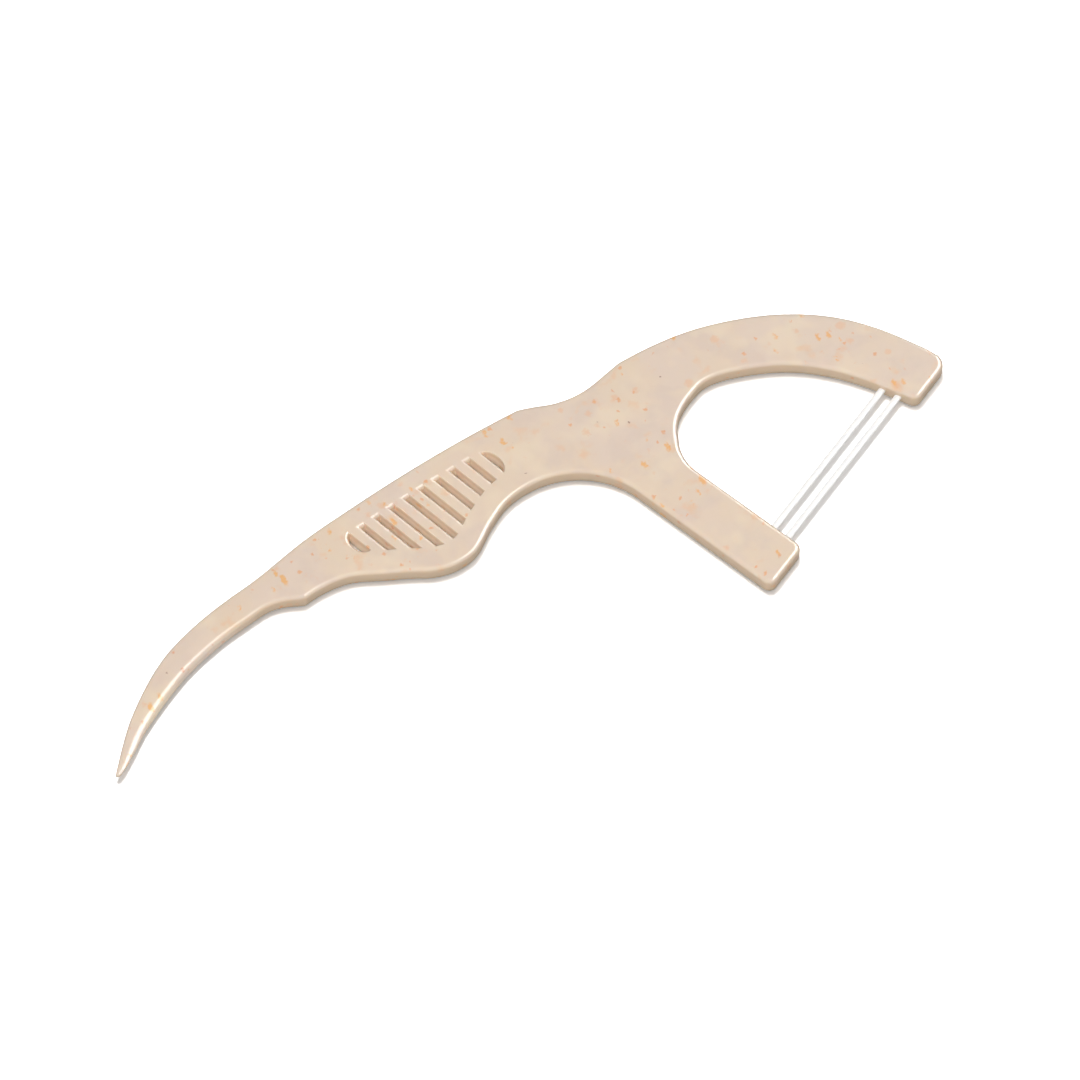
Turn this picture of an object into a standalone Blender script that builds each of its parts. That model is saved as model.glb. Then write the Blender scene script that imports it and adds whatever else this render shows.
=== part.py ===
"""Flat moulded floss pick: a ribbed handle with a curved toothpick at one end and, at the other,
a bow that holds two taut strands of floss. Metres, +Z up, lying on its flat underside."""

import math

import bmesh
import bpy
from mathutils import Vector
from mathutils.geometry import interpolate_bezier

# Moulded body
THICKNESS = 0.0017
EDGE_ROUND = 0.0004
FACET = 0.00065
LEAST_FACET = FACET / 3
ROUND_STEPS = 3
CURVE_STEPS = 6
ARC_STEPS = 5
SADDLE_STEPS = 20
SHARP_ANGLE = math.radians(35)

# Handle, from the root of the pick to the neck
HANDLE_LENGTH = 0.0276
HANDLE_RISE = 0.00414
ROOT_INSET = 0.0024
ROOT_WIDTH = 0.00397
NOTCH_INSET = 0.0031
NOTCH_WIDTH = 0.00443
NOTCH_RADIUS = 0.0006
GRIP_WIDTH = 0.00995
SADDLE_WIDTH = 0.00707
SADDLE_RADIUS = 0.0078

# Toothpick
PICK_LENGTH = 0.0186
PICK_DROP = 0.0109
PICK_WIDTH = 0.0029
PICK_BEVEL = 0.00095
PICK_BACK_ROUND = 0.0003
TIP_WIDTH = 0.00036
TIP_THICKNESS = 0.00045

# Neck and bow
NECK_LENGTH = 0.0098
NECK_SCOOP = 0.0011
NECK_RADIUS = 0.0012
BOW_LENGTH = 0.02503
BOW_DROP = 0.0134
CROWN_WIDTH = 0.005
UPPER_ARM_WIDTH = 0.00535
UPPER_END_WIDTH = 0.0047
UPPER_CORNER_RADIUS = 0.0013
THROAT_REACH = 0.00532
THROAT_DROP = 0.00755
LOWER_ARM_WIDTH = 0.0048
LOWER_ARM_ANGLE = math.radians(68.5)
ARM_CORNER_RADIUS = 0.0008

# Grip slots
SLOT_COUNT = 8
SLOT_PITCH = 0.001543
SLOT_WIDTH = 0.00046
SLOT_LEAN = math.radians(19.0)
SLOT_CORNER = 0.00012
SLOT_RIM = 0.00017
SLOT_RIM_DEPTH = 0.0003
FIRST_SLOT_INSET = 0.00997
LAST_RIB_WIDTH = 0.00131
BACK_MARGIN = 0.00186
BELLY_MARGIN = 0.00228
LEFT_BULGE = 0.0008
RIGHT_BULGE = 0.00045
RIGHT_FOOT = 0.0004
HALF_MOON_TURN = math.radians(84)
HALF_MOON_STEPS = 6

# Floss
FLOSS_ANGLE = math.radians(26.7)
FLOSS_WIDTH = 0.00062
FLOSS_THICKNESS = 0.00042
FLOSS_SPACING = 0.00149
FLOSS_INSET = 0.00177
FLOSS_SEAT = 0.0024
FLOSS_CLEARANCE = 0.0001
FLOSS_SIDES = 16

# Colours, in linear light
BODY_COLOUR = (0.775, 0.644, 0.503)
BODY_ROUGHNESS = 0.5
FLOSS_COLOUR = (0.86, 0.85, 0.83)
FLOSS_ROUGHNESS = 0.55

# Curves of the outline, as shares of the sizes above
HANDLE_BACK_SHARES = (
    (1.0, 1.0), (0.761, 0.897), (0.543, 0.729), (0.362, 0.544), (0.217, 0.372), (0.0, 0.0),
)
PICK_BACK_SHARES = (
    (0.153, 0.048), (0.312, 0.114), (0.529, 0.256), (0.734, 0.4995), (0.835, 0.657),
    (0.911, 0.804), (1.0, 0.995),
)
PICK_WIDTH_SHARES = (1.0, 0.94, 0.94, 0.91, 0.715, 0.545, 0.385, 0.0)
PICK_THICKNESS_SHARES = (0.84, 0.72, 0.62, 0.48, 0.32, 0.22, 0.12, 0.0)
PICK_BEVEL_SHARES = (0.1, 0.3, 0.55, 0.8, 1.0, 1.0, 1.0, 1.0)
BACK_ROUND_WIDTH_SHARE = 0.3
BEVEL_WIDTH_SHARE = 0.6
BEVEL_DEPTH_SHARE = 0.9
GRIP_SHARE = 0.583
GRIP_SWELL_SHARES = (
    (0.185, 0.05), (0.257, 0.146), (0.366, 0.458), (0.454, 0.723), (0.49, 0.843),
)
SADDLE_SWELL_SHARES = ((0.635, 0.012), (0.744, 0.57), (0.816, 0.89))
NECK_SHARES = ((0.144, 0.34), (0.3, 0.79), (0.505, 1.0), (0.66, 0.855), (0.84, 0.42), (1.0, 0.0))
BOW_SHARES = (
    (0.108, -0.012), (0.268, 0.0), (0.428, 0.061), (0.588, 0.17), (0.748, 0.354),
    (0.868, 0.584), (0.94, 0.776), (0.97, 0.864), (1.0, 1.0),
)
CROWN_KNOT_COUNT = 2
UPPER_ARM_SHARES = (0.0, 0.14, 0.43, 1.0, 0.86, 0.5)
THROAT_SHARES = (
    (1.047, 0.801), (1.026, 0.668), (0.968, 0.551), (0.876, 0.396), (0.744, 0.272), (0.566, 0.161),
    (0.359, 0.077), (0.152, 0.021),
)
SLOT_CORNER_SHARES = (0.0, 0.3, 1.0)
SLOT_RIM_SHARES = ((1.6, -0.5), (0.5, 0.3), (0.12, 0.65), (0.0, 1.0))


def clear_scene():
    for old in list(bpy.data.objects):
        bpy.data.objects.remove(old, do_unlink=True)


def heading(angle):
    return Vector((math.cos(angle), math.sin(angle)))


def left_of(direction):
    return Vector((-direction.y, direction.x))


def between(low, high, share):
    return low + (high - low) * share


def mirrored(direction, chord):
    """The direction at one end of an arc, from the direction at its other end."""
    along = chord.normalized()
    return along * (2 * direction.dot(along)) - direction


def directions(path):
    """The direction of the path at each of its points, leaning to the nearer neighbour."""
    steps = [b - a for a, b in zip(path, path[1:])]
    found = []
    for before, after in zip(steps, steps[1:]):
        leaning = before.normalized() * after.length + after.normalized() * before.length
        found.append(leaning.normalized())
    if not found:
        return [steps[0].normalized()] * 2
    return [mirrored(found[0], steps[0])] + found + [mirrored(found[-1], steps[-1])]


def smooth_path(knots, steps=CURVE_STEPS, start=None, end=None):
    """A curve through the knots, with a given direction at either end where one is named."""
    slopes = directions(knots)
    slopes[0] = start or slopes[0]
    slopes[-1] = end or slopes[-1]
    path = [knots[0]]
    for i in range(len(knots) - 1):
        third = (knots[i + 1] - knots[i]).length / 3
        leaving = knots[i] + slopes[i] * third
        arriving = knots[i + 1] - slopes[i + 1] * third
        path += interpolate_bezier(knots[i], leaving, arriving, knots[i + 1], steps + 1)[1:]
    return path


def evened(path, spacing=FACET):
    """The same path in points that lie about this far apart."""
    reached = [0]
    for a, b in zip(path, path[1:]):
        reached.append(reached[-1] + (b - a).length)
    count = max(1, round(reached[-1] / spacing))
    points = [path[0]]
    i = 0
    for step in range(1, count):
        goal = reached[-1] * step / count
        while reached[i + 1] < goal:
            i += 1
        share = (goal - reached[i]) / (reached[i + 1] - reached[i])
        points.append(path[i].lerp(path[i + 1], share))
    return points + [path[-1]]


def offset_path(path, distance):
    """The path moved to its left by this distance."""
    return [p + left_of(d) * distance for p, d in zip(path, directions(path))]


def arc_path(centre, radius, start, end):
    """The stretch of a circle between two angles."""
    angles = [between(start, end, i / SADDLE_STEPS) for i in range(SADDLE_STEPS + 1)]
    return [centre + heading(angle) * radius for angle in angles]


def rounded_join(paths, radii):
    """Paths that follow one another, with an arc in each corner between them."""
    joined = list(paths[0])
    for path, radius in zip(paths[1:], radii):
        corner = path[0]
        arriving = (corner - joined[-2]).normalized()
        leaving = (path[1] - corner).normalized()
        turn = arriving.angle(leaving)
        reach = radius * math.tan(turn / 2)
        pull = radius * math.tan(turn / 4) * 4 / 3
        clear = reach + LEAST_FACET
        while (joined[-1] - corner).length < clear:
            joined.pop()
        rest = [p for p in path if (p - corner).length > clear]
        first = corner - arriving * reach
        last = corner + leaving * reach
        arc = interpolate_bezier(first, first + arriving * pull, last - leaving * pull, last,
                                 ARC_STEPS + 1)
        joined += arc + rest
    return joined


def pick_root():
    return Vector((-HANDLE_LENGTH, -HANDLE_RISE))


def handle_back():
    """The upper edge of the handle, from the neck to the root of the pick."""
    return [pick_root() + Vector((s * HANDLE_LENGTH, t * HANDLE_RISE)) for s, t in HANDLE_BACK_SHARES]


def pick_back():
    """The convex edge of the pick, from its root to the tip."""
    return [pick_root() - Vector((s * PICK_LENGTH, t * PICK_DROP)) for s, t in PICK_BACK_SHARES]


def point_at(path, x):
    """The point of a path at this X."""
    for a, b in zip(path, path[1:]):
        if min(a.x, b.x) <= x <= max(a.x, b.x):
            return a.lerp(b, (x - a.x) / (b.x - a.x))
    return path[-1]


def ribbon(back_curve):
    """The pick as pairs of edge points, from root to tip.

    Each is (back point, belly point, half thickness, back rounding, belly bevel)."""
    start = point_at(back_curve, -HANDLE_LENGTH + ROOT_INSET)
    knots = [start, pick_root()] + pick_back()
    slopes = directions(knots)
    belly = [start - Vector((0, ROOT_WIDTH))]
    depths = [THICKNESS / 2]
    rounds = [EDGE_ROUND]
    bevels = [EDGE_ROUND]
    for i, share in enumerate(PICK_WIDTH_SHARES):
        width = between(TIP_WIDTH, PICK_WIDTH, share)
        belly.append(knots[i + 1] + left_of(slopes[i + 1]) * width)
        depths.append(between(TIP_THICKNESS, THICKNESS, PICK_THICKNESS_SHARES[i]) / 2)
        rounds.append(min(PICK_BACK_ROUND, width * BACK_ROUND_WIDTH_SHARE))
        bevel = between(EDGE_ROUND, PICK_BEVEL, PICK_BEVEL_SHARES[i])
        bevels.append(min(bevel, width * BEVEL_WIDTH_SHARE))
    back = smooth_path(knots)
    belly = smooth_path(belly)
    pairs = []
    for i, (upper, lower) in enumerate(zip(back, belly)):
        span = min(i // CURVE_STEPS, len(depths) - 2)
        share = (i - span * CURVE_STEPS) / CURVE_STEPS
        sizes = [between(row[span], row[span + 1], share) for row in (depths, rounds, bevels)]
        pairs.append((upper, lower, *sizes))
    return pairs


def belly_path(back_curve, root_belly, saddle_top):
    """The lower edge of the handle, from the root of the pick round the grip to the saddle."""
    notch = point_at(back_curve, -HANDLE_LENGTH + NOTCH_INSET) - Vector((0, NOTCH_WIDTH))
    saddle_width = point_at(back_curve, saddle_top.x).y - saddle_top.y
    knots = [notch]
    for share, swell in GRIP_SWELL_SHARES:
        width = between(NOTCH_WIDTH, GRIP_WIDTH, swell)
        knots.append(point_at(back_curve, -HANDLE_LENGTH * (1 - share)) - Vector((0, width)))
    knots.append(point_at(back_curve, -HANDLE_LENGTH * (1 - GRIP_SHARE)) - Vector((0, GRIP_WIDTH)))
    for share, swell in SADDLE_SWELL_SHARES:
        width = between(GRIP_WIDTH, saddle_width, swell)
        knots.append(point_at(back_curve, -HANDLE_LENGTH * (1 - share)) - Vector((0, width)))
    knots.append(saddle_top)
    grip = evened(smooth_path(knots, end=heading(0)))
    return rounded_join([[root_belly, notch], grip], [NOTCH_RADIUS])


def neck_path():
    """The shallow scoop of the upper edge between handle and bow."""
    start = Vector((0, 0))
    return [start] + [Vector((s * NECK_LENGTH, -t * NECK_SCOOP)) for s, t in NECK_SHARES]


def bow_path():
    """The outer edge of the bow, from the neck to the free corner of the upper arm."""
    start = neck_path()[-1]
    return [start] + [start + Vector((s * BOW_LENGTH, -t * BOW_DROP)) for s, t in BOW_SHARES]


def upper_arm_inner(bow, corner):
    """The inner edge of the upper arm, from the crown of the opening to the arm's end."""
    path = []
    slopes = directions(bow)
    for i in range((len(UPPER_ARM_SHARES) - 1) * CURVE_STEPS + 1):
        knot = min(i // CURVE_STEPS, len(UPPER_ARM_SHARES) - 2)
        part = (i - knot * CURVE_STEPS) / CURVE_STEPS
        share = between(UPPER_ARM_SHARES[knot], UPPER_ARM_SHARES[knot + 1], part)
        width = between(CROWN_WIDTH, UPPER_ARM_WIDTH, share)
        place = CROWN_KNOT_COUNT * CURVE_STEPS + i
        path.append(bow[place] - left_of(slopes[place]) * width)
    return path + [corner]


def meeting(place, direction, other_place, other_direction):
    """Where two straight lines cross."""
    gap = (other_place - place).cross(other_direction)
    return place + direction * (gap / direction.cross(other_direction))


def body_edges():
    """The plate's edge paths, by name, and the pick's pairs of edge points."""
    arm_end = heading(FLOSS_ANGLE)
    down_arm = heading(-LOWER_ARM_ANGLE)
    across_arm = left_of(down_arm)
    bow = smooth_path(bow_path())
    upper_corner = bow[-1] - arm_end * UPPER_END_WIDTH
    upper_inner = upper_arm_inner(bow, upper_corner)
    crown = upper_inner[0]
    foot = crown - Vector((THROAT_REACH, THROAT_DROP))
    throat = [foot] + [crown - Vector((s * THROAT_REACH, t * THROAT_DROP)) for s, t in THROAT_SHARES]
    throat = smooth_path(throat + [crown], start=-down_arm, end=directions(upper_inner)[0])
    lower_corner = meeting(foot, down_arm, upper_corner, arm_end)
    outer_corner = meeting(foot - across_arm * LOWER_ARM_WIDTH, down_arm, upper_corner, arm_end)
    saddle_level = -SADDLE_WIDTH
    centre_y = saddle_level - SADDLE_RADIUS
    centre_x = (outer_corner.dot(across_arm) - SADDLE_RADIUS - centre_y * across_arm.y) / across_arm.x
    centre = Vector((centre_x, centre_y))
    saddle = arc_path(centre, SADDLE_RADIUS, math.radians(90), math.radians(90) - LOWER_ARM_ANGLE)
    back_curve = smooth_path(handle_back() + pick_back())
    pairs = ribbon(back_curve)
    belly = belly_path(back_curve, pairs[0][1], saddle[0])
    back = [p for p in back_curve if p.x > pairs[0][0].x + LEAST_FACET] + [pairs[0][0]]
    lower_outer = evened(saddle) + evened([saddle[-1], outer_corner])[1:]
    inner = evened([lower_corner, foot])[:-1] + evened(throat)[:-1]
    inner += evened(upper_inner)
    paths = [
        belly + lower_outer[1:],
        evened([outer_corner, lower_corner]),
        inner,
        evened([upper_corner, bow[-1]]),
        evened(bow[::-1]),
        evened(smooth_path(neck_path())[::-1]),
        evened(back),
    ]
    radii = [ARM_CORNER_RADIUS, ARM_CORNER_RADIUS, ARM_CORNER_RADIUS, UPPER_CORNER_RADIUS]
    radii += [NECK_RADIUS, NECK_RADIUS]
    edges = {
        "belly": belly,
        "back": back,
        "upper_corner": upper_corner,
        "upper_inner": upper_inner,
        "lower_inner": [lower_corner, foot],
    }
    return rounded_join(paths, radii), pairs, edges


def ring_faces(rings, faces):
    """Quads between rings of vertices that follow one another."""
    for low, high in zip(rings, rings[1:]):
        count = len(low)
        for i in range(count):
            j = (i + 1) % count
            faces.append((low[i], low[j], high[j], high[i]))


def new_object(name, vertices, faces):
    mesh = bpy.data.meshes.new(name)
    mesh.from_pydata([tuple(v) for v in vertices], [], faces)
    mesh.validate()
    made = bpy.data.objects.new(name, mesh)
    bpy.context.scene.collection.objects.link(made)
    return made


def moulded_body(plate, pairs):
    """A plate with rounded edges that runs out into the tapering pick."""
    loop = [(p, THICKNESS / 2, EDGE_ROUND) for p in plate]
    loop += [(pair[0], pair[2], pair[3]) for pair in pairs[1:]]
    loop += [(pair[1], pair[2], pair[4]) for pair in pairs[:0:-1]]
    count = len(loop)
    vertices = []
    rings = []
    levels = [(-1, k) for k in range(ROUND_STEPS, -1, -1)] + [(1, k) for k in range(ROUND_STEPS + 1)]
    for side, k in levels:
        turn = math.radians(90) * k / ROUND_STEPS
        ring = []
        for i, (point, depth, bevel) in enumerate(loop):
            ahead = loop[(i + 1) % count][0] - point
            behind = point - loop[i - 1][0]
            outward = -left_of((ahead.normalized() + behind.normalized()).normalized())
            place = point - outward * bevel * (1 - math.cos(turn))
            drop = min(bevel, depth * BEVEL_DEPTH_SHARE) * (1 - math.sin(turn))
            ring.append(len(vertices))
            vertices.append((place.x, place.y, THICKNESS / 2 + side * (depth - drop)))
        rings.append(ring)
    faces = []
    ring_faces(rings, faces)
    flat = len(plate)
    last = len(pairs) - 1
    for ring, turned in ((rings[-1], False), (rings[0], True)):
        caps = [ring[:flat]]
        back = [ring[flat - 1]] + ring[flat:flat + last]
        belly = [ring[0]] + ring[flat + last:][::-1]
        caps += [(back[i], back[i + 1], belly[i + 1], belly[i]) for i in range(last)]
        faces += [tuple(cap)[::-1] if turned else tuple(cap) for cap in caps]
    return new_object("pick_body", vertices, faces)


def level_at(path, u):
    for (u0, v0), (u1, v1) in zip(path, path[1:]):
        if min(u0, u1) <= u <= max(u0, u1):
            return between(v0, v1, (u - u0) / (u1 - u0))
    return path[-1][1]


def slot_margins(edges):
    """The upper and lower limits of the slots, in steps across and along them."""
    across = heading(SLOT_LEAN)
    along = left_of(across)
    top = offset_path(edges["back"], BACK_MARGIN)
    bottom = offset_path(edges["belly"], BELLY_MARGIN)
    return [[(p.dot(across), p.dot(along)) for p in path] for path in (top, bottom)]


def slot_ring(margins, centre, extra):
    """The outline of one straight slot, widened by extra all round: (across, along) points."""
    half = SLOT_WIDTH / 2 + extra
    corner = SLOT_CORNER + extra
    steps = []
    for share in SLOT_CORNER_SHARES:
        dip = corner * (1 - math.sqrt(1 - (1 - share) ** 2))
        steps.append((half - corner * share, dip))
    steps += [(-step, dip) for step, dip in steps[::-1]]
    lower = [(centre - step, level_at(margins[1], centre - step) - extra + dip) for step, dip in steps]
    upper = [(centre + step, level_at(margins[0], centre + step) + extra - dip) for step, dip in steps]
    return lower + upper


def half_moon_ring(margins, side, start, bulge, foot, extra):
    """The outline of the opening at either end of the grip, which has one straight edge."""
    top = level_at(margins[0], start) + extra
    bottom = level_at(margins[1], start) + foot - extra
    middle = (top + bottom) / 2
    base = start - side * extra
    depth = bulge + 2 * extra
    turns = [HALF_MOON_TURN * k / HALF_MOON_STEPS for k in range(HALF_MOON_STEPS + 1)]
    lower = [(base + side * depth * math.sin(t), between(middle, bottom, math.cos(t))) for t in turns]
    upper = [(u, 2 * middle - v) for u, v in lower[::-1]]
    ring = lower + upper
    return ring if side > 0 else ring[::-1]


def slot_cutter(name, ring_of):
    """A hidden cutter for one opening, flared where it meets either face."""
    across = heading(SLOT_LEAN)
    along = left_of(across)
    profile = [(extra * SLOT_RIM, depth * SLOT_RIM_DEPTH) for extra, depth in SLOT_RIM_SHARES]
    levels = profile + [(extra, THICKNESS - depth) for extra, depth in profile[::-1]]
    vertices = []
    rings = []
    for extra, height in levels:
        ring = []
        for u, v in ring_of(extra):
            place = across * u + along * v
            ring.append(len(vertices))
            vertices.append((place.x, place.y, height))
        rings.append(ring)
    faces = [tuple(rings[0][::-1]), tuple(rings[-1])]
    ring_faces(rings, faces)
    return hidden(new_object(name, vertices, faces))


def hidden(cutter):
    cutter.hide_render = True
    cutter.display_type = "WIRE"
    return cutter


def slot_cutters(edges):
    """Cutters for the straight slots and for the half moon at each end of the row."""
    margins = slot_margins(edges)
    start = pick_root().dot(heading(SLOT_LEAN)) + FIRST_SLOT_INSET
    half = SLOT_WIDTH / 2
    cutters = []
    for i in range(SLOT_COUNT):
        centre = start + i * SLOT_PITCH
        cutters.append(slot_cutter(f"cut_slot_{i + 1}",
                                   lambda extra, c=centre: slot_ring(margins, c, extra)))
    left = start - SLOT_PITCH + half
    right = start + (SLOT_COUNT - 1) * SLOT_PITCH + half + LAST_RIB_WIDTH
    ends = (
        ("cut_slot_left", -1, left, LEFT_BULGE, 0),
        ("cut_slot_right", 1, right, RIGHT_BULGE, RIGHT_FOOT),
    )
    for name, side, edge, bulge, foot in ends:
        cutters.append(slot_cutter(name, lambda extra, s=side, e=edge, b=bulge, f=foot:
                                   half_moon_ring(margins, s, e, b, f, extra)))
    return cutters


def strand(name, start, end, extra):
    """A strand of oval section between two points at half the body's height."""
    forward = (end - start).normalized()
    side = left_of(forward)
    vertices = []
    rings = []
    for centre in (start, end):
        ring = []
        for k in range(FLOSS_SIDES):
            turn = math.radians(360) * k / FLOSS_SIDES
            place = centre + side * math.cos(turn) * (FLOSS_WIDTH / 2 + extra)
            height = THICKNESS / 2 + math.sin(turn) * (FLOSS_THICKNESS / 2 + extra)
            ring.append(len(vertices))
            vertices.append((place.x, place.y, height))
        rings.append(ring)
    faces = [tuple(rings[0][::-1]), tuple(rings[1])]
    ring_faces(rings, faces)
    made = new_object(name, vertices, faces)
    bm = bmesh.new()
    bm.from_mesh(made.data)
    bmesh.ops.recalc_face_normals(bm, faces=bm.faces)
    bm.to_mesh(made.data)
    bm.free()
    return made


def crossing(path, place, forward):
    """Where a straight line meets a path."""
    side = left_of(forward)
    for a, b in zip(path, path[1:]):
        before = (a - place).dot(side)
        after = (b - place).dot(side)
        if before * after <= 0 and before != after:
            return a.lerp(b, before / (before - after))
    return path[-1]


def strand_lines(edges):
    """The ends of the free span of each strand: the inner one, then the outer one."""
    forward = heading(FLOSS_ANGLE)
    inward = left_of(forward)
    lines = []
    for step in (1, 0):
        place = edges["upper_corner"] + inward * (FLOSS_INSET + step * FLOSS_SPACING)
        start = crossing(edges["lower_inner"], place, forward)
        end = crossing(edges["upper_inner"], place, forward)
        lines.append((start, end))
    return lines


def strands_and_pockets(edges):
    """The two strands, and hidden cutters for the blind holes that hold their ends."""
    forward = heading(FLOSS_ANGLE)
    seat = forward * FLOSS_SEAT
    pocket = forward * (FLOSS_SEAT + FLOSS_CLEARANCE)
    strands = []
    pockets = []
    for name, (start, end) in zip(("floss_strand_inner", "floss_strand_outer"), strand_lines(edges)):
        strands.append(strand(name, start - seat, end + seat, 0))
        hole = strand("cut_" + name, start - pocket, end + pocket, FLOSS_CLEARANCE)
        pockets.append(hidden(hole))
    return strands, pockets


def cut_from(body, cutters):
    """Takes the cutters away from the body."""
    group = bpy.data.collections.new("cutters")
    bpy.context.scene.collection.children.link(group)
    for cutter in cutters:
        bpy.context.scene.collection.objects.unlink(cutter)
        group.objects.link(cutter)
    boolean = body.modifiers.new("openings", "BOOLEAN")
    boolean.operation = "DIFFERENCE"
    boolean.solver = "EXACT"
    boolean.operand_type = "COLLECTION"
    boolean.collection = group


def centre_all(body, objects):
    """Moves every mesh so that the body's underside is centred on the origin."""
    xs = [v.co.x for v in body.data.vertices]
    ys = [v.co.y for v in body.data.vertices]
    zs = [v.co.z for v in body.data.vertices]
    shift = Vector((-(min(xs) + max(xs)) / 2, -(min(ys) + max(ys)) / 2, -min(zs)))
    for obj in objects:
        for vertex in obj.data.vertices:
            vertex.co += shift


def plain_material(name, colour, roughness):
    material = bpy.data.materials.new(name)
    material.use_nodes = True
    shader = material.node_tree.nodes["Principled BSDF"]
    shader.inputs["Base Color"].default_value = (*colour, 1.0)
    shader.inputs["Roughness"].default_value = roughness
    material.diffuse_color = (*colour, 1.0)
    return material


def finish_surface(obj, material):
    obj.data.materials.append(material)
    obj.data.shade_smooth()
    obj.data.set_sharp_from_angle(angle=SHARP_ANGLE)


def build():
    clear_scene()
    plate, pairs, edges = body_edges()
    body = moulded_body(plate, pairs)
    strands, pockets = strands_and_pockets(edges)
    cutters = slot_cutters(edges) + pockets
    centre_all(body, [body] + strands + cutters)
    cut_from(body, cutters)
    finish_surface(body, plain_material("moulded_bioplastic", BODY_COLOUR, BODY_ROUGHNESS))
    for made in strands:
        finish_surface(made, plain_material(made.name + "_fibre", FLOSS_COLOUR, FLOSS_ROUGHNESS))


build()
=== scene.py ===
import math

import bmesh
import bpy
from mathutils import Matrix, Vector
from mathutils.geometry import interpolate_bezier


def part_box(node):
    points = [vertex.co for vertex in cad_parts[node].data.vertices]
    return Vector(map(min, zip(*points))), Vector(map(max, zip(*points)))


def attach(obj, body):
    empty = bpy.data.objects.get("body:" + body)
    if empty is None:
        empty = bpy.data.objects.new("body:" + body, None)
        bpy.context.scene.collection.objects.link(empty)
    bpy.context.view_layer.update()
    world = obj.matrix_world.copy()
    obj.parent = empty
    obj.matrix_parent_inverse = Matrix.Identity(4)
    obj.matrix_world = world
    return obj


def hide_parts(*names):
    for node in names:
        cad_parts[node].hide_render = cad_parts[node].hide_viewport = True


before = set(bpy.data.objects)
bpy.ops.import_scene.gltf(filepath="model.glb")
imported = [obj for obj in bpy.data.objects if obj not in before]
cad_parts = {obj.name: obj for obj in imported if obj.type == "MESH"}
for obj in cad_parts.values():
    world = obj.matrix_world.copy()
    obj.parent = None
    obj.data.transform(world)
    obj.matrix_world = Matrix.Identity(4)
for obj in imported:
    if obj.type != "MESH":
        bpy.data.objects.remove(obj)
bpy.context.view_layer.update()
bpy.ops.object.select_all(action="DESELECT")

# The outline of the body. The real one is the edge of the mould's cavity: a straight-backed
# handle that runs out into a curved toothpick at the left and into a two-armed bow at the right.
# Sizes are in millimetres and start at the kink where the handle's back meets the neck.
THICKNESS = 1.7
EDGE_ROUND = 0.32
FACET = 0.25
SHORTEST = FACET / 3
CURVE_STEPS, ARC_STEPS, SADDLE_STEPS = 18, 8, 60
HANDLE_LENGTH, HANDLE_RISE = 27.6, 4.14
ROOT_INSET, ROOT_WIDTH = 2.4, 3.97
NOTCH_INSET, NOTCH_WIDTH, NOTCH_RADIUS = 3.1, 4.43, 0.6
GRIP_WIDTH, SADDLE_WIDTH, SADDLE_RADIUS = 9.95, 7.07, 7.8
PICK_LENGTH, PICK_DROP, PICK_WIDTH, PICK_BEVEL = 18.6, 10.9, 2.9, 0.95
TIP_WIDTH, TIP_THICKNESS = 0.36, 0.45
NECK_LENGTH, NECK_SCOOP, NECK_RADIUS = 9.8, 1.1, 1.2
BOW_LENGTH, BOW_DROP, CROWN_WIDTH = 25.03, 13.4, 5.0
UPPER_ARM_WIDTH, UPPER_END_WIDTH, UPPER_CORNER_RADIUS = 5.35, 4.7, 1.3
THROAT_REACH, THROAT_DROP = 5.32, 7.55
LOWER_ARM_WIDTH, LOWER_ARM_ANGLE, ARM_CORNER_RADIUS = 4.8, math.radians(68.5), 0.8
FLOSS_ANGLE = math.radians(26.7)
HANDLE_BACK_SHARES = (
    (1.0, 1.0), (0.761, 0.897), (0.543, 0.729), (0.362, 0.544), (0.217, 0.372), (0.0, 0.0),
)
PICK_BACK_SHARES = (
    (0.153, 0.048), (0.312, 0.114), (0.529, 0.256), (0.734, 0.4995), (0.835, 0.657),
    (0.911, 0.804), (1.0, 0.995),
)
PICK_WIDTH_SHARES = (1.0, 0.94, 0.94, 0.91, 0.715, 0.545, 0.385, 0.0)
PICK_THICKNESS_SHARES = (0.84, 0.72, 0.62, 0.48, 0.32, 0.22, 0.12, 0.0)
PICK_BEVEL_SHARES = (0.1, 0.3, 0.55, 0.8, 1.0, 1.0, 1.0, 1.0)
GRIP_SHARE = 0.583
GRIP_SWELL_SHARES = (
    (0.185, 0.05), (0.257, 0.146), (0.366, 0.458), (0.454, 0.723), (0.49, 0.843),
)
SADDLE_SWELL_SHARES = ((0.635, 0.012), (0.744, 0.57), (0.816, 0.89))
NECK_SHARES = ((0.144, 0.34), (0.3, 0.79), (0.505, 1.0), (0.66, 0.855), (0.84, 0.42), (1.0, 0.0))
BOW_SHARES = (
    (0.108, -0.012), (0.268, 0.0), (0.428, 0.061), (0.588, 0.17), (0.748, 0.354),
    (0.868, 0.584), (0.94, 0.776), (0.97, 0.864), (1.0, 1.0),
)
CROWN_KNOT, CROWN_BLEND = 2, 10
UPPER_ARM_SHARES = (0.0, 0.14, 0.43, 1.0, 0.86, 0.5)
THROAT_SHARES = (
    (1.047, 0.801), (1.026, 0.668), (0.966, 0.553), (0.87, 0.402), (0.738, 0.283),
    (0.556, 0.18), (0.348, 0.1), (0.145, 0.038),
)


def heading(angle):
    return Vector((math.cos(angle), math.sin(angle)))


def left_of(direction):
    return Vector((-direction.y, direction.x))


def between(low, high, share):
    return low + (high - low) * share


def mirrored(direction, chord):
    """The direction at one end of an arc, from the direction at its other end."""
    chord = chord.normalized()
    return chord * (2 * direction.dot(chord)) - direction


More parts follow.
